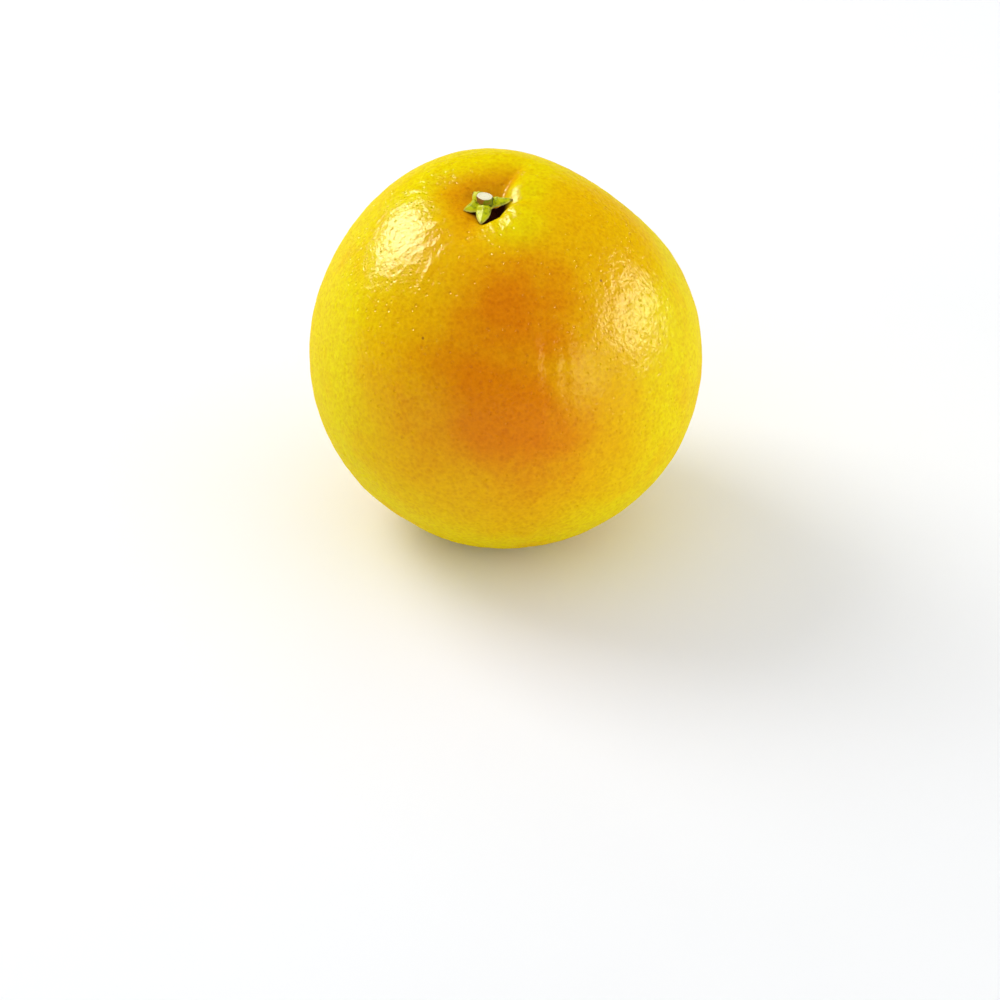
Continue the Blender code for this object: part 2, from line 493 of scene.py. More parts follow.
    def speckle(self, graph: Graph, colour: Socket, glands: bpy.types.Node) -> Socket:
        """Lay soft darker gland dots, a fine mottle and a few brown scars over a colour.

        Args:
            graph: Graph of the material.
            colour: Colour under the dots.
            glands: Cells of the glands.

        Returns:
            The colour's socket.
        """
        dots = graph.fit(glands.outputs["Distance"], 0.15, 0.7, 1.0, 0.0)
        patchy = graph.fit(graph.noise(self.patch_pitch), 0.3, 0.7, self.least_dots, 1.0)
        dots = graph.maths("MULTIPLY", dots, patchy)
        colour = graph.blend(dots, colour, self.gland_tint, "MULTIPLY")
        grain = graph.fit(graph.noise(self.grain_pitch), 0.38, 0.64)
        colour = graph.blend(grain, colour, self.grain_tint, "MULTIPLY")
        mottle = graph.fit(graph.noise(self.mottle_pitch, detail=3.0), 0.42, 0.66)
        colour = graph.blend(mottle, colour, self.mottle_tint, "MULTIPLY")
        cells = graph.cells(self.scar_pitch)
        lot = graph.add("ShaderNodeSeparateColor", {0: cells.outputs["Color"]}).outputs[0]
        chosen = graph.fit(lot, 0.80, 0.82)
        scars = graph.fit(cells.outputs["Distance"], 0.018, 0.036, 1.0, 0.0)
        return graph.blend(graph.maths("MULTIPLY", scars, chosen), colour, self.scar)


@dataclass(frozen=True)
class CalyxFinish:
    """Fleshy yellow-green calyx with paler veins and browned tips."""

    fresh: Colour = (0.60, 0.64, 0.003)
    deep: Colour = (0.22, 0.30, 0.002)
    pale: Colour = (0.80, 0.80, 0.28)
    browned: Colour = (0.20, 0.07, 0.012)
    mottle_pitch: float = 1.7 * MM
    vein_share: float = 0.3
    rim_share: float = 0.4
    grain_pitch: float = 0.7 * MM
    grain_depth: float = 0.12 * MM
    roughness: Pair = (0.42, 0.58)

    def material(self) -> bpy.types.Material:
        """Build the calyx's material."""
        graph = Graph("calyx_finish")
        mottle = graph.fit(graph.noise(self.mottle_pitch, detail=4.0), 0.45, 0.72)
        colour = graph.blend(mottle, self.fresh, self.deep)
        vein = graph.fit(graph.attribute("vein"), 0.2, 1.0, 0.0, self.vein_share)
        colour = graph.blend(vein, colour, self.pale)
        rim = graph.fit(graph.attribute("rim"), 0.93, 0.99, 0.0, self.rim_share)
        colour = graph.blend(rim, colour, self.pale)
        colour = graph.blend(graph.attribute("tip"), colour, self.browned)
        # The underside turns to the same dark brown as the tips, more towards the bottom of the
        # calyx.
        under = graph.fit(graph.attribute("under"), 0.3, 1.0)
        colour = graph.blend(under, colour, self.browned)
        normal = graph.bump(graph.noise(self.grain_pitch, detail=4.0), self.grain_depth)
        return graph.finish(
            colour, graph.fit(mottle, 0.0, 1.0, *self.roughness), normal,
            Specular_IOR_Level=0.05, Coat_Weight=0.05, Coat_Roughness=0.25,
        )


@dataclass(frozen=True)
class StalkFinish:
    """Drying green-brown bark, with a pale fibrous cut face; the bark is painted deep green as
    shade on its right side and at its foot.
    """

    bark: Colour = (0.36, 0.15, 0.015)
    olive: Colour = (0.22, 0.27, 0.006)
    painted_shade_green: Colour = (0.05, 0.075, 0.004)
    wood: Colour = (0.86, 0.82, 0.60)
    ring: Colour = (0.66, 0.60, 0.34)
    patch_pitch: float = 1.8 * MM
    patchiness: float = 0.3
    grain_pitch: float = 0.5 * MM
    grain_share: float = 0.5
    ring_share: float = 0.55
    bark_pitch: float = 0.45 * MM
    bark_depth: float = 0.15 * MM
    roughness: Pair = (0.6, 0.75)

    def material(self) -> bpy.types.Material:
        """Build the stalk's material."""
        graph = Graph("stalk_finish")
        patches = graph.noise(self.patch_pitch, detail=4.0)
        patches = graph.fit(patches, 0.3, 0.7, -self.patchiness, self.patchiness)
        shade = graph.maths("ADD", graph.attribute("shade"), patches)
        bark = graph.blend(graph.fit(shade, 0.25, 0.6), self.bark, self.olive)
        # Painted shade: the bark goes to deep green where the stored shade is high, on the stub's
        # right side and at its foot.
        bark = graph.blend(graph.fit(shade, 0.8, 1.15), bark, self.painted_shade_green)
        grain = graph.noise(self.grain_pitch, detail=3.0)
        grain = graph.fit(grain, 0.4, 0.8, 0.0, self.grain_share)
        wood = graph.blend(grain, self.wood, self.ring)
        ring = graph.fit(graph.attribute("ring"), 0.2, 1.0, 0.0, self.ring_share)
        wood = graph.blend(ring, wood, self.ring)
        colour = graph.blend(graph.attribute("cut"), bark, wood)
        normal = graph.bump(graph.noise(self.bark_pitch, detail=5.0), self.bark_depth)
        roughness = graph.fit(grain, 0.0, 1.0, *self.roughness)
        return graph.finish(colour, roughness, normal, Specular_IOR_Level=0.1)


# ---------------------------------------------------------------- the fruit


@dataclass(frozen=True)
class Fold:
    """Ridge or furrow of the skin beside the stem, in millimetres of flat polar coordinates.

    It climbs over the first share of its stretch, and sinks from there to its end.
    """

    relief: Relief
    start: Pair
    end: Pair
    height: float
    half_width: float
    climb: float = 1.0 / 6.0

    def rise(self, right: Array, back: Array) -> Array:
        """Height of the fold at places beside the stem.

        A bell curve of the distance to the straight stretch from start to end, times a
        weight that climbs over the climbing share and sinks to 0 at the end.

        Args:
            right: Flat coordinate to the right, in metres.
            back: Flat coordinate to the back, in metres.

        Returns:
            Height above the plain form, in metres, below zero for a furrow.
        """
        begin = np.array(self.start) * MM
        span = np.array(self.end) * MM - begin
        along = ((right - begin[0]) * span[0] + (back - begin[1]) * span[1]) / (span @ span)
        along = np.clip(along, 0.0, 1.0)
        gap = np.hypot(right - begin[0] - along * span[0], back - begin[1] - along * span[1])
        weight = smooth_step(along, 0.0, self.climb) * (1.0 - along**2)
        return self.relief.value * self.height * MM * weight * bell(gap, self.half_width * MM)


@dataclass(frozen=True)
class Swell:
    """Broad bulge or flat of the whole form about a heading, in degrees and millimetres."""

    heading: float
    elevation: float
    height: float
    spread: float = 30.0

    def rise(self, headings: Array) -> Array:
        """Height in metres at unit vectors, a bell curve of the angle from the middle."""
        cosine = headings @ unit_heading(self.heading, self.elevation)
        off = np.degrees(np.arccos(np.clip(cosine, -1.0, 1.0)))
        return self.height * MM * bell(off, self.spread)


@dataclass(frozen=True)
class FruitForm:
    """The skin's shape as a distance from the fruit's centre."""

    size: float = 78.2 * MM
    blossom_fullness: float = 0.024
    lengthening: float = 0.0125
    stem_neck: float = 0.0155
    lean: float = math.radians(10.7)
    lean_towards: float = math.radians(236)
    flat_spot_depth: float = 2.8 * MM
    swells: tuple[Swell, ...] = (Swell(40, 45, -4.4), Swell(124, 52, 1.6))
    hollows: Pairs = ((5.0 * MM, 24 * MM), (5.6 * MM, 10 * MM))
    folds: tuple[Fold, ...] = (
        Fold(Relief.FURROW, (0, 0), (13, 32), 2.8, 6.5),
        Fold(Relief.FURROW, (4, 1), (17, 31), 2.4, 3.0),
        Fold(Relief.RIDGE, (8, 4), (36, 15), 1.4, 5.0),
        Fold(Relief.RIDGE, (11, -2), (19, -28), 2.2, 6.0),
        Fold(Relief.FURROW, (7.2, 0), (3.2, -10.5), 4.4, 2.4),
        Fold(Relief.FURROW, (5, -5.5), (-3, -12.8), 3.4, 2.0),
        Fold(Relief.RIDGE, (-6, -9), (-27, -14), 0.8, 3.0),
        Fold(Relief.FURROW, (-5, 3), (-24, 20), 1.4, 7.0),
        Fold(Relief.FURROW, (-2, -6), (-9, -26), 1.3, 6.0),
        Fold(Relief.RIDGE, (1.5, -10), (6.8, -32), 0.4, 1.0),
        Fold(Relief.RIDGE, (8, -8), (14, -26), 0.25, 0.9),
        Fold(Relief.RIDGE, (10, -6), (19, -21), 0.25, 0.9),
        Fold(Relief.RIDGE, (11, -3), (24, -13), 0.2, 1.0),
        Fold(Relief.RIDGE, (-20, -29), (-33, -45), 0.35, 1.7),
        Fold(Relief.RIDGE, (-25, 11.2), (-37, 16.5), 0.25, 1.2),
        Fold(Relief.FURROW, (23, -58), (27, -104), 0.35, 2.4),
        Fold(Relief.RIDGE, (19, -58), (22, -98), 0.3, 1.6),
        Fold(Relief.RIDGE, (27, -60), (32, -92), 0.2, 1.3),
        Fold(Relief.RIDGE, (33, -56), (42, -98), 0.3, 2.6),
    )
    centre_samples: int = 181
    skin_repeats: int = 10

    def axes(self) -> Array:
        """Columns right, back and up of the frame that stands on the stem axis.

        Returns:
            Orthonormal matrix, shape (3, 3).
        """
        level, towards = math.sin(self.lean), self.lean_towards
        up = np.array([level * math.cos(towards), level * math.sin(towards), math.cos(self.lean)])
        right = np.array([1.0, 0.0, 0.0]) - up * up[0]
        right /= np.linalg.norm(right)
        return np.stack([right, np.cross(up, right), up], axis=1)

    def beside_stem(self, polar: Array, turn: Array) -> tuple[Array, Array]:
        """Flat coordinates to the right and to the back of the stem, in metres."""
        arc = self.size * polar
        return arc * np.cos(turn), arc * np.sin(turn)

    def hollow(self, polar: Array, turn: Array) -> Array:
        """Depth of the basin, the pit and the folds at places on the skin.

        Args:
            polar: Angle from the stem.
            turn: Angle round the stem.

        Returns:
            Depth in metres, below zero on ridges.
        """
        right, back = self.beside_stem(polar, turn)
        depth = sum(deep * bell(self.size * polar, wide) for deep, wide in self.hollows)
        return depth - sum(fold.rise(right, back) for fold in self.folds)

    def headings(self, polar: Array, turn: Array) -> Array:
        """Unit vectors in the world of angles from and round the stem."""
        return round_axis(np.sin(polar), turn, np.cos(polar)) @ self.axes().T

    def radius(self, polar: Array, turn: Array) -> Array:
        """Distance from the fruit's centre to its skin, without the fine unevenness.

        The size times 1 - a cos(p) + b cos(2p) + c cos(3p) for the angle p from the stem,
        plus bell-shaped swells about their headings, less the hollows.

        Args:
            polar: Angle from the stem.
            turn: Angle round the stem.

        Returns:
            Distance in metres.
        """
        plain = self.size * (
            1.0
            - self.blossom_fullness * np.cos(polar)
            + self.lengthening * np.cos(2 * polar)
            + self.stem_neck * np.cos(3 * polar)
        )
        headings = self.headings(polar, turn)
        for swell in self.swells:
            plain = plain + swell.rise(headings)
        return plain - self.hollow(polar, turn)

    def centre(self) -> Vector:
        """Centre of the fruit, so high that its flat spot lies on the floor."""
        polar, turn = np.meshgrid(
            np.linspace(0, math.pi, self.centre_samples),
            np.linspace(0, FULL_TURN, self.centre_samples),
        )
        heights = self.headings(polar, turn)[..., 2] * self.radius(polar, turn)
        return Vector((0.0, 0.0, -float(heights.min()) - self.flat_spot_depth))

    def skin_height(self, reach: Array, turn: Array) -> Array:
        """Height of the skin along the stem axis, at a small distance from that axis.

        The angle whose skin lies at that distance is found by repeating
        angle = arcsin(reach / radius(angle)).

        Args:
            reach: Distance from the stem axis.
            turn: Angle round it.

        Returns:
            Height over the fruit's centre.
        """
        polar = reach / self.size
        for _ in range(self.skin_repeats):
            polar = np.arcsin(np.clip(reach / self.radius(polar, turn), 0.0, 1.0))
        return self.radius(polar, turn) * np.cos(polar)

    def to_world(self, local: Array) -> Array:
        """Points of the stem frame, with the fruit's centre at its origin, in the world."""
        return local @ self.axes().T + np.array(self.centre())


@dataclass(frozen=True)
class Wrinkles:
    """Fine radial wrinkles that ring the stem, with lengths in millimetres."""

    arc: float = 16.0
    spread: float = 9.0
    crowding: float = 27.0
    length: float = 5.0
    least: float = 0.02
    growth: float = 0.09
    strongest: float = math.radians(-50)

    def rise(self, arc: Array, turn: Array) -> Array:
        """Height of the wrinkles.

        Noise that is short round the stem and long away from it, times a bell curve of the
        arc length about the ring's, and times a weight that grows towards the strongest turn.

        Args:
            arc: Arc length from the stem, in millimetres.
            turn: Angle round the stem.

        Returns:
            Height in metres.
        """
        places = round_axis(self.crowding, turn, arc / self.length)
        nearness = 0.5 + 0.5 * np.cos(turn - self.strongest)
        height = (self.least + self.growth * nearness**3) * MM
        return height * value_noise(places, 1.0, Seed.WRINKLES) * bell(arc - self.arc, self.spread)


@dataclass
class Rind:
    """The fruit itself: one closed skin with its fine unevenness.

    The edge of the pit's painted shadow is given by degrees round the stem and millimetres
    from it, and the patches of the wall that is painted brighter yellow as lit by flat places
    and half-widths in millimetres. A row of the unevenness holds a wavelength and a height in
    millimetres, and a factor by which it is drawn out upright. A row of the blossom scar holds
    an arc length from the blossom end, a half-width and a height, and a row of the crowding an
    angle from the stem, a share and a spread.
    """

    form: FruitForm
    finish: RindFinish = field(default_factory=RindFinish)
    wrinkles: Wrinkles = field(default_factory=Wrinkles)
    rings: int = 240
    columns: int = 412
    floor_rounding: float = 0.35 * MM
    deep_hollow: float = 7.5 * MM
    pit_edge: Pairs = (
        (0, 10.2), (20, 8.0), (60, 5.0), (150, 5.5), (190, 7.5), (204, 9.9), (220, 9.0), (232, 8.6),
        (246, 9.8), (256, 12.2), (267, 13.2), (282, 12.8), (300, 11.7), (329, 9.3), (350, 9.6),
    )
    pit_fade: Pair = (-2.2, 0.6)
    lit_wall_patches: Triples = ((12.0, -14.0, 14.0), (16.0, 2.5, 9.5))
    unevenness: Triples = (
        (46.0, 0.55, 1.0), (21.0, 0.22, 1.0), (9.0, 0.10, 1.0), (4.8, 0.08, 1.0),
        (2.7, 0.03, 1.0), (2.4, 0.09, 3.4),
    )
    blossom_scar: Triples = ((3.2, 1.1, 0.35), (0.0, 2.4, -0.7))
    crowding: Triples = ((0.0, 0.65, 0.35), (math.pi, 0.35, 0.2))
    angle_samples: int = 4001

    def unevenness_at(self, headings: Array) -> Array:
        """Height of the skin's bumps over the round form, a sum of noises.

        Args:
            headings: Unit vectors from the fruit's centre.

        Returns:
            Height in metres.
        """
        places = headings * self.form.size / MM
        waves = (
            height * value_noise(places / np.array([1.0, 1.0, upright]), wavelength, seed)
            for seed, (wavelength, height, upright) in enumerate(self.unevenness, Seed.SKIN)
        )
        return sum(waves) * MM

    def pit_shade(self, polar: Array, turn: Array) -> Array:
        """1 inside the pit round the stem, which is painted near black as shadow, and 0 outside its
        edge.

        The edge's arc length is read off pairs of degrees and millimetres round the stem.

        Args:
            polar: Angle from the stem.
            turn: Angle round the stem.

        Returns:
            Shares from 0 to 1.
        """
        turns, arcs = np.array(self.pit_edge).T
        edge = np.interp(np.degrees(turn), turns, arcs, period=360.0)
        near, far = self.pit_fade
        return 1.0 - smooth_step(self.form.size * polar / MM, edge + near, edge + far)

    def lit_wall_share(self, polar: Array, turn: Array) -> Array:
        """How much of the wall and lip beside the pit, painted brighter yellow as lit, a place has.

        The largest of bell curves about flat places, each with its half-width in millimetres.

        Args:
            polar: Angle from the stem.
            turn: Angle round the stem.

        Returns:
            Shares from 0 to 1.
        """
        right, back = (place / MM for place in self.form.beside_stem(polar, turn))
        bells = [bell(np.hypot(right - x, back - y), wide) for x, y, wide in self.lit_wall_patches]
        return np.max(bells, axis=0)

    def blossom_scar_at(self, polar: Array) -> Array:
        """Shallow dimple with a raised ring where the flower was, as a height."""
        arc = self.form.size * (math.pi - polar) / MM
        return sum(high * bell(arc - place, wide) for place, wide, high in self.blossom_scar) * MM

    def ring_angles(self) -> Array:
        """Angles of the rings from the stem, close together at the stem and the blossom end.

        The gap between rings is 1, less a bell curve at each end; the running sum of its
        inverse is cut into equal steps.

        Returns:
            One angle for each ring, without the poles.
        """
        angles = np.linspace(0.0, math.pi, self.angle_samples)
        gap = np.ones_like(angles)
        for end, share, spread in self.crowding:
            gap -= share * bell(angles - end, spread)
        count = np.cumsum(1.0 / gap)
        count = (count - count[0]) / (count[-1] - count[0]) * (self.rings + 1)
        return np.interp(np.arange(1, self.rings + 1), count, angles)

    def skin(self, polar: Array, turn: Array) -> Array:
        """Skin points in the world, pressed softly onto the floor.

        The height above the floor becomes half of itself plus the root of its square and
        a small constant squared, which flattens what would reach below the floor.
        a small constant squared times 4, which flattens what would reach below the floor.
        Args:
            polar: Angle from the stem.
            turn: Angle round the stem.

        Returns:
            Points, with one more axis than the angles.
        """
        headings = self.form.headings(polar, turn)
        radius = self.form.radius(polar, turn) + self.unevenness_at(headings)
        radius = radius + self.wrinkles.rise(self.form.size * polar / MM, turn)
        radius = radius + self.blossom_scar_at(polar)
        points = headings * radius[..., None] + np.array(self.form.centre())
        height = points[..., 2]
        points[..., 2] = 0.5 * (height + np.sqrt(height**2 + 4.0 * self.floor_rounding**2))
        return points

    def build(self) -> bpy.types.Object:
        """Build and dress the rind.

        Returns:
            The piece.
        """
        polar, turn = turned_grid(self.ring_angles(), self.columns)
        poles = self.skin(np.array([0.0, math.pi]), np.zeros(2))
        mesh = ring_mesh("rind", self.skin(polar, turn), poles[0], poles[1])
        depth = np.clip(self.form.hollow(polar, turn) / self.deep_hollow, 0.0, 1.0)
        lit_wall = self.lit_wall_share(polar, turn)
        # Painted shade: the hollows are tinted orange, except on the wall that is painted as lit.
        store_attribute(mesh, "hollow", depth * (1.0 - lit_wall), (1.0, 0.0))
        # Partly painted light: the wall beside the pit is painted brighter yellow, as lit.
        store_attribute(mesh, "lit_wall", lit_wall, (0.0, 0.0))
        # Painted shadow: the pit round the stem is painted near black.
        store_attribute(mesh, "pit_shadow", self.pit_shade(polar, turn), (1.0, 0.0))
        mesh.materials.append(self.finish.material(self.form.centre()))
        return place_piece("rind", mesh, "fruit")


# ---------------------------------------------------------------- calyx and stalk


@dataclass(frozen=True)
class Lobe:
    """One pointed lobe of the calyx.

    Its turn and half-width are in degrees round the stem, and its reach from the stem and
    its tip's rise over the skin's clearance in millimetres. The last number says how much of
    its tip is dry.
    """

    turn: float
    reach: float
    half_width: float
    tip_rise: float = 0.0
    browned: float = 0.0

    def away(self, turn: Array) -> Array:
        """Angle from the lobe's midrib, in radians, below zero on one side."""
        return np.angle(np.exp(1j * (turn - math.radians(self.turn))))

    def share(self, turn: Array) -> Array:
        """1 on the midrib, falling straight to 0 at the lobe's sides."""
        return np.clip(1.0 - np.abs(self.away(turn)) / math.radians(self.half_width), 0.0, 1.0)


@dataclass
class Calyx:
    """Five-lobed green star with a low cup round the stalk."""

    form: FruitForm
    finish: CalyxFinish = field(default_factory=CalyxFinish)
    lobes: tuple[Lobe, ...] = (
        Lobe(0, 10.7, 36, 0.1, 1.0),
        Lobe(58, 5.8, 26, 0.2),
        Lobe(122, 8.9, 36, 1.2, 0.3),
        Lobe(203, 9.3, 42, -0.1, 0.3),
        Lobe(262, 12.3, 40, -0.1, 0.4),
    )
    waist: float = 4.6 * MM
    waist_shift: float = 0.7 * MM
    waist_shift_towards: float = math.radians(150)
    waist_drop: float = 1.3 * MM
    blade: float = 1.0 * MM
    clearance: float = 0.35 * MM
    seat_rise: float = 4.6 * MM
    droop: float = 1.6
    cup_radius: float = 4.6 * MM
    cup_height: float = 1.1 * MM
    cup_wall: float = 1.0 * MM
    cup_slope: float = 0.45
    cup_slope_towards: float = math.radians(165)
    neck_depth: float = 1.6 * MM
    neck_radius: float = 2.4 * MM
    rib_half_width: float = 0.45 * MM
    rib_height: float = 0.35 * MM
    rib_start: Pair = (2.5 * MM, 5.0 * MM)
    pointedness: float = 1.3
    ragged_height: float = 0.12 * MM
    ragged_length: float = 0.09
    rough_height: float = 0.10 * MM
    rough_length: float = 1.1
    tip_start: Pair = (0.84, 0.97)
    underside: Pair = (0.6 * math.pi, 0.75 * math.pi)
    rings: int = 72
    columns: int = 320

    def outline(self, turn: Array) -> Array:
        """Distance from the stem axis to the calyx's edge.

        The waist, wider towards one turn, plus for the nearest lobe its reach beyond it times
        a share that runs from 0 at the lobe's sides to 1 on its midrib, to a power that hollows
        the sides, plus a fine noise.

        Args:
            turn: Angle round the stem.

        Returns:
            Distance in metres.
        """
        waist = self.waist + self.waist_shift * np.cos(turn - self.waist_shift_towards)
        beyond = [
            (lobe.reach * MM - waist) * lobe.share(turn) ** self.pointedness for lobe in self.lobes
        ]
        circle = round_axis(1.0, turn, 0.0 * turn)
        ragged = self.ragged_height * value_noise(circle, self.ragged_length, Seed.CALYX_EDGE)
        return waist + np.max(beyond, axis=0) + ragged

    def rim_height(self, edge: Array, turn: Array) -> Array:
        """Height of the calyx's edge over the fruit's centre.

        From the waist's height it runs to each lobe's tip height, in step with the lobe's
        share, and it never comes closer to the skin than the clearance.

        Args:
            edge: Distance from the stem axis to the edge.
            turn: Angle round the stem.

        Returns:
            Height in metres.
        """
        waist = self.seat() - self.waist_drop
        height = np.full_like(turn, waist)
        for lobe in self.lobes:
            place = np.array(lobe.reach * MM), np.array(math.radians(lobe.turn))
            tip = float(self.form.skin_height(*place)) + self.clearance + lobe.tip_rise * MM
            height += (tip - waist) * lobe.share(turn)
        return np.maximum(height, self.form.skin_height(edge, turn) + self.clearance)

    def midrib(self, reach: Array, turn: Array) -> Array:
        """1 along the lobes' midribs, a bell curve of the distance across them."""
        away = [lobe.away(turn) for lobe in self.lobes]
        across = [np.abs(reach * np.sin(angle)) + (np.cos(angle) < 0) for angle in away]
        return bell(np.min(across, axis=0), self.rib_half_width)

    def seat(self) -> float:
        """Height of the calyx's underside at the stem axis."""
        return float(self.form.skin_height(np.array(0.0), np.array(0.0))) + self.seat_rise

    def surface(self, tilt: Array, turn: Array) -> tuple[Array, Array, Array]:
        """Points of the calyx, as a lens carried round the stem axis.

        The share of the outline is the sine of the tilt. The underside droops from the seat
        to the rim, and has a neck round the axis. The blade's thickness follows a
        superellipse, thick to near the edge, and the upper side also has the cup, the midribs
        and a fine noise on it, which all fade out at the edge by 1 less a power of the share.

        Args:
            tilt: 0 at the top of the axis, half a turn at its bottom.
            turn: Angle round the stem.

        Returns:
            Points in the world, the share of the outline, and the midrib's strength.
        """
        share = np.sin(tilt)
        on_top = tilt < math.pi / 2
        edge = self.outline(turn)
        reach = edge * share
        seat = self.seat()
        under = seat + (self.rim_height(edge, turn) - seat) * share**self.droop
        rib = self.midrib(reach, turn) * smooth_step(reach, *self.rib_start) * (1.0 - share**4)
        cup = self.cup_height * (1.0 + self.cup_slope * np.cos(turn - self.cup_slope_towards))
        cup = cup * bell(reach - self.cup_radius, self.cup_wall)
        upper = self.blade * np.sqrt(1.0 - share**6) + cup * (1.0 - share**4)
        upper = upper + self.rib_height * rib * (1.0 - share**8)
        neck = self.neck_depth * bell(reach, self.neck_radius)
        places = round_axis(reach, turn, under + np.where(on_top, upper, -neck))
        rough = self.rough_height * value_noise(places / MM, self.rough_length, Seed.CALYX_TOP)
        places[..., 2] += rough * on_top * (1.0 - share**6)
        return self.form.to_world(places), share, rib

    def build(self) -> bpy.types.Object:
        """Build and dress the calyx.

        Returns:
            The piece.
        """
        tilts = np.linspace(0.0, math.pi, self.rings + 2)[1:-1]
        tilt, turn = turned_grid(tilts, self.columns)
        rows, share, rib = self.surface(tilt, turn)
        poles = self.surface(np.array([0.0, math.pi]), np.zeros(2))[0]
        mesh = ring_mesh("calyx_star", rows, poles[0], poles[1])
        tips = [
            lobe.browned * smooth_step(lobe.share(turn) * share, *self.tip_start)
            for lobe in self.lobes
        ]
        store_attribute(mesh, "rim", share * (tilt < self.underside[0]), (0.0, 0.0))
        store_attribute(mesh, "vein", rib, (0.0, 0.0))
        store_attribute(mesh, "tip", np.max(tips, axis=0), (0.0, 0.0))
        store_attribute(mesh, "under", smooth_step(tilt, *self.underside), (0.0, 1.0))
        mesh.materials.append(self.finish.material())
        return place_piece("calyx_star", mesh, "calyx")


@dataclass
class StalkStub:
    """Short end of the stalk, cut square across.

    A row of the ribs holds a height in metres and a wavelength, and a row of the growth
    rings a share of the radius and a half-width.
    """

    form: FruitForm
    seat: float
    finish: StalkFinish = field(default_factory=StalkFinish)
    radius: float = 3.1 * MM
    foot_flare: float = 0.5 * MM
    over_middle: float = 1.6 * MM
    slant: float = 0.28
    slant_towards: float = math.radians(224)
    rim: float = 0.28 * MM
    rim_share: float = 0.08
    ribs: Pairs = ((0.13 * MM, 0.5), (0.16 * MM, 2.0))
    rib_crowding: float = 2.2
    rib_bend: float = 0.6
    dish_depth: float = 0.18 * MM
    groove_depth: float = 0.035 * MM
    groove_crowding: float = 26.0
    face_roughness: float = 0.05 * MM
    face_grain: float = 0.7
    face_lap: float = 0.02
    growth_rings: Pairs = ((0.72, 0.07), (0.0, 0.14))
    shade_towards: float = math.radians(20)
    foot_shade: float = 0.4
    columns: int = 144
    face_rings: int = 22
    side_rings: int = 30
    foot_rings: int = 2
    side_crowding: float = 1.5

    def top(self) -> float:
        """Height of the cut face over the fruit's centre, from the frame's own stub."""
        corners = np.array([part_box("stem_stub")[0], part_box("stem_stub")[1]])
        middle = corners.mean(axis=0) - np.array(self.form.centre())
        return float(middle @ self.form.axes()[:, 2]) + self.over_middle

    def surface(self, path: Array, turn: Array) -> tuple[Array, Array]:
        """Points of the stub, a profile carried round the stem axis.

        The profile's path runs over the cut face from 0 to 1, down the side from 1 to 2,
        and under the foot from 2 to 3. The face is dished, grooved and slanted, its rim is
        rounded, and the side has shallow ribs along it and flares at the foot.

        Args:
            path: Place along the profile.
            turn: Angle round the stem.

        Returns:
            Points in the world, and the share of the radius.
        """
        face, side = np.clip(path, 0.0, 1.0), np.clip(path - 1.0, 0.0, 1.0)
        foot = np.clip(path - 2.0, 0.0, 1.0)
        share = face * (1.0 - foot)
        around = round_axis(self.rib_crowding, turn, self.rib_bend * side)
        ribs = sum(
            height * value_noise(around, wavelength, seed)
            for seed, (height, wavelength) in enumerate(self.ribs, Seed.STALK_RIBS)
        )
        edge = self.radius + ribs + self.foot_flare * smooth_step(side, 0.5, 1.0)
        rounding = smooth_step(side, 0.0, self.rim_share)
        reach = share * (edge - self.rim * (1.0 - rounding))
        grooves = np.cos(share * self.groove_crowding) * self.groove_depth * (1.0 - share)
        dish = self.dish_depth * (share**3 - 1.0) + grooves
        top = self.top() + np.where(side > 0.0, -self.rim * rounding, dish)
        slant = self.slant * reach * np.cos(turn - self.slant_towards)
        height = top + slant * (1.0 - side) - (self.top() - self.seat) * side
        places = round_axis(reach, turn, height)
        rough = self.face_roughness * value_noise(places / MM, self.face_grain, Seed.STALK_FACE)
        places[..., 2] += rough * (side == 0.0)
        return self.form.to_world(places), share

    def build(self) -> bpy.types.Object:
        """Build and dress the stub.

        Returns:
            The piece.
        """
        paths = np.concatenate([
            np.linspace(0.0, 1.0, self.face_rings + 1)[1:],
            1.0 + np.linspace(0.0, 1.0, self.side_rings + 1)[1:] ** self.side_crowding,
            np.linspace(2.0, 3.0, self.foot_rings + 2)[1:-1],
        ])
        path, turn = turned_grid(paths, self.columns)
        rows, share = self.surface(path, turn)
        poles = self.surface(np.array([0.0, 3.0]), np.zeros(2))[0]
        mesh = ring_mesh("stalk_stub", rows, poles[0], poles[1])
        cut = np.where(path < 1.0 + self.face_lap, 1.0, 0.0)
        store_attribute(mesh, "cut", cut, (1.0, 0.0))
        ring = sum(bell(share - place, wide) for place, wide in self.growth_rings)
        store_attribute(mesh, "ring", np.where(path <= 1.0, ring, 0.0), (1.0, 0.0))
        # Painted shade: high towards the stub's right side and at its foot, where the bark is
        # painted deep green; lower values give the brown and olive bark.
        shade = 0.5 + 0.5 * np.cos(turn - self.shade_towards)
        shade = shade + self.foot_shade * smooth_step(path, 1.4, 1.9)
        store_attribute(mesh, "shade", shade, (0.0, 1.0))
        mesh.materials.append(self.finish.material())
        return place_piece("stalk_stub", mesh, "stem_stub")


# ---------------------------------------------------------------- the studio


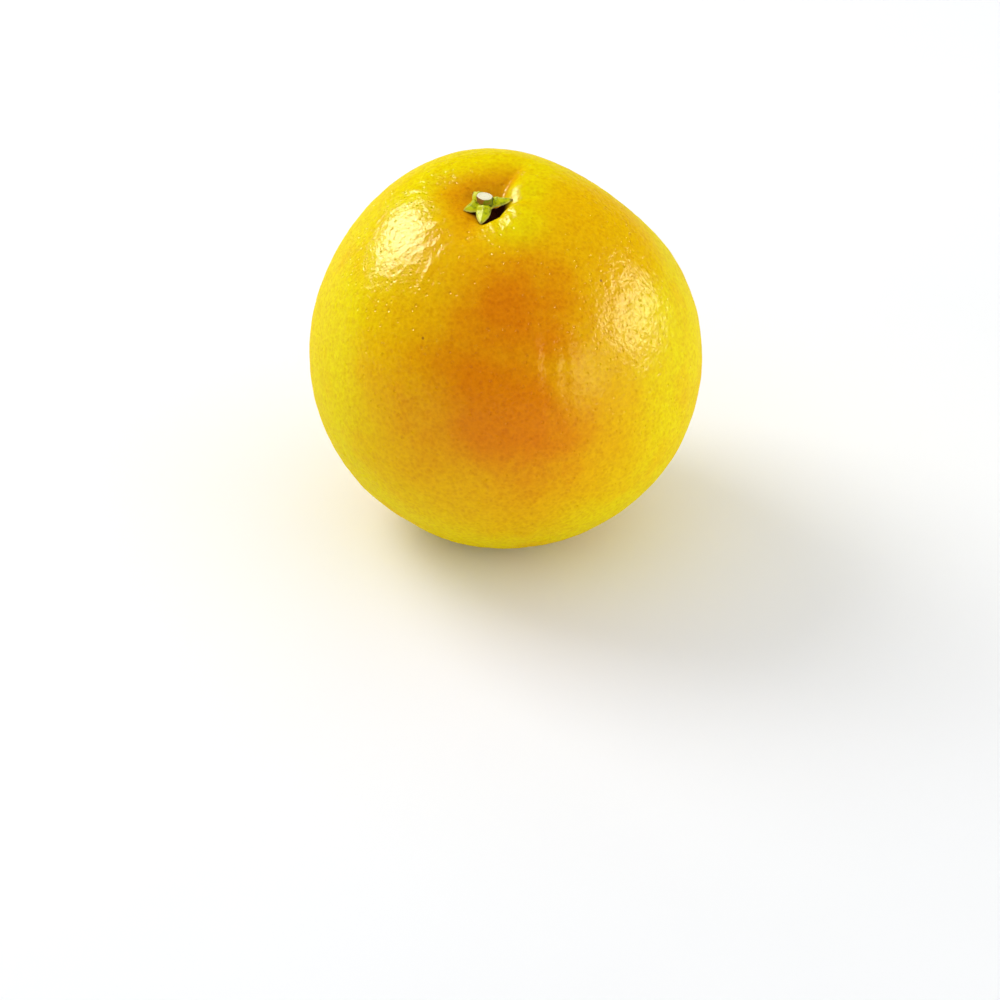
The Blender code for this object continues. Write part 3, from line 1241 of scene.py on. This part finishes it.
@dataclass(frozen=True)
class Softbox:
    """Rectangular soft light.

    It hangs at a heading and an elevation in degrees and a distance in metres from the
    fruit, and its power is in watts.
    """

    name: str
    heading: float
    elevation: float
    distance: float
    width: float
    height: float
    power: float
    throw: Throw
    tint: Colour = (1.0, 1.0, 1.0)

    def hang(self, target: Vector) -> None:
        """Add the light, facing the target.

        Args:
            target: Point that it shines on.
        """
        towards = Vector(unit_heading(self.heading, self.elevation))
        lamp = bpy.data.lights.new(self.name, "AREA")
        lamp.shape = "RECTANGLE"
        lamp.size, lamp.size_y = self.width, self.height
        lamp.energy, lamp.color = self.power, self.tint
        holder = bpy.data.objects.new(self.name, lamp)
        holder.location = target + towards * self.distance
        holder.rotation_euler = towards.to_track_quat("Z", "Y").to_euler()
        holder.visible_camera = False
        holder.visible_diffuse = self.throw is Throw.GLOW
        holder.visible_glossy = self.throw is Throw.SHINE
        bpy.context.scene.collection.objects.link(holder)


@dataclass
class Studio:
    """Pale floor and surroundings, soft lights and the camera."""

    target: Vector
    floor_side: float = 40.0
    surround: Colour = (0.95, 0.97, 1.0)
    surround_strength: float = 0.8
    floor_colour: Colour = (0.90, 0.90, 0.90)
    floor_shade: float = 0.985
    floor_mottle: float = 0.2
    floor_roughness: float = 0.85
    floor_grain: float = 1.5 * MM
    floor_grain_depth: float = 0.01 * MM
    boxes: tuple[Softbox, ...] = (
        Softbox("key_glow", 146, 42, 1.7, 0.95, 0.95, 14.0, Throw.GLOW),
        Softbox("fill_glow", -15, 8, 1.6, 1.4, 0.8, 8.8, Throw.GLOW),
        Softbox("key_shine", 146, 34, 1.7, 0.95, 0.95, 135.0, Throw.SHINE, (1.0, 0.96, 0.76)),
        Softbox("right_shine", 4, 14, 1.5, 1.0, 0.5, 46.0, Throw.SHINE, (1.0, 0.98, 0.58)),
        Softbox("front_shine", -43, 6, 1.5, 0.5, 0.8, 12.0, Throw.SHINE, (1.0, 0.97, 0.5)),
    )
    camera_elevation: float = 32.5
    camera_distance: float = 1.65
    lens: float = 150.6
    sensor: float = 36.0
    aim_right: float = -1.9 * MM
    aim_up: float = -61.7 * MM

    def build(self) -> None:
        """Set up the floor, the surroundings, the lights and the camera."""
        self.lay_floor()
        self.fill_surround()
        for box in self.boxes:
            box.hang(self.target)
        self.set_camera()
        bpy.context.scene.view_settings.view_transform = "Standard"

    def lay_floor(self) -> None:
        """Lay a large level floor with a faint mottle."""
        half = self.floor_side / 2
        mesh = bpy.data.meshes.new("floor")
        corners = [(-half, -half, 0.0), (half, -half, 0.0), (half, half, 0.0), (-half, half, 0.0)]
        mesh.from_pydata(corners, [], [(0, 1, 2, 3)])
        graph = Graph("floor_finish")
        mottle = graph.fit(graph.noise(self.floor_mottle, detail=3.0), 0.3, 0.7)
        darker = tuple(self.floor_shade * part for part in self.floor_colour)
        colour = graph.blend(mottle, self.floor_colour, darker)
        normal = graph.bump(graph.noise(self.floor_grain), self.floor_grain_depth)
        finish = graph.finish(colour, self.floor_roughness, normal, Specular_IOR_Level=0.2)
        mesh.materials.append(finish)
        floor = bpy.data.objects.new("floor", mesh)
        bpy.context.scene.collection.objects.link(floor)

    def fill_surround(self) -> None:
        """Give the world an even pale glow."""
        world = bpy.data.worlds.new("surround")
        bpy.context.scene.world = world
        world.use_nodes = True
        glow = world.node_tree.nodes["Background"]
        glow.inputs["Color"].default_value = (*self.surround, 1.0)
        glow.inputs["Strength"].default_value = self.surround_strength
        world.cycles_visibility.glossy = False

    def set_camera(self) -> None:
        """Look down on the fruit from the front, aiming a little below it."""
        rise = math.radians(self.camera_elevation)
        back = Vector((0.0, -math.cos(rise), math.sin(rise)))
        up = Vector((0.0, math.sin(rise), math.cos(rise)))
        aim = self.target + Vector((self.aim_right, 0.0, 0.0)) + up * self.aim_up
        eye = self.target + back * self.camera_distance
        lens = bpy.data.cameras.new("camera")
        lens.lens, lens.sensor_width = self.lens, self.sensor
        camera = bpy.data.objects.new("camera", lens)
        facing = (eye - aim).to_track_quat("Z", "Y").to_matrix().to_4x4()
        camera.matrix_world = Matrix.Translation(eye) @ facing
        bpy.context.scene.collection.objects.link(camera)
        bpy.context.scene.camera = camera


def main() -> None:
    """Build the pomelo and its studio."""
    logging.basicConfig(level=logging.INFO, format="%(name)s: %(message)s")
    form = FruitForm()
    Rind(form).build()
    calyx = Calyx(form)
    calyx.build()
    StalkStub(form, calyx.seat()).build()
    Studio(form.centre()).build()


if __name__ == "__main__":
    main()
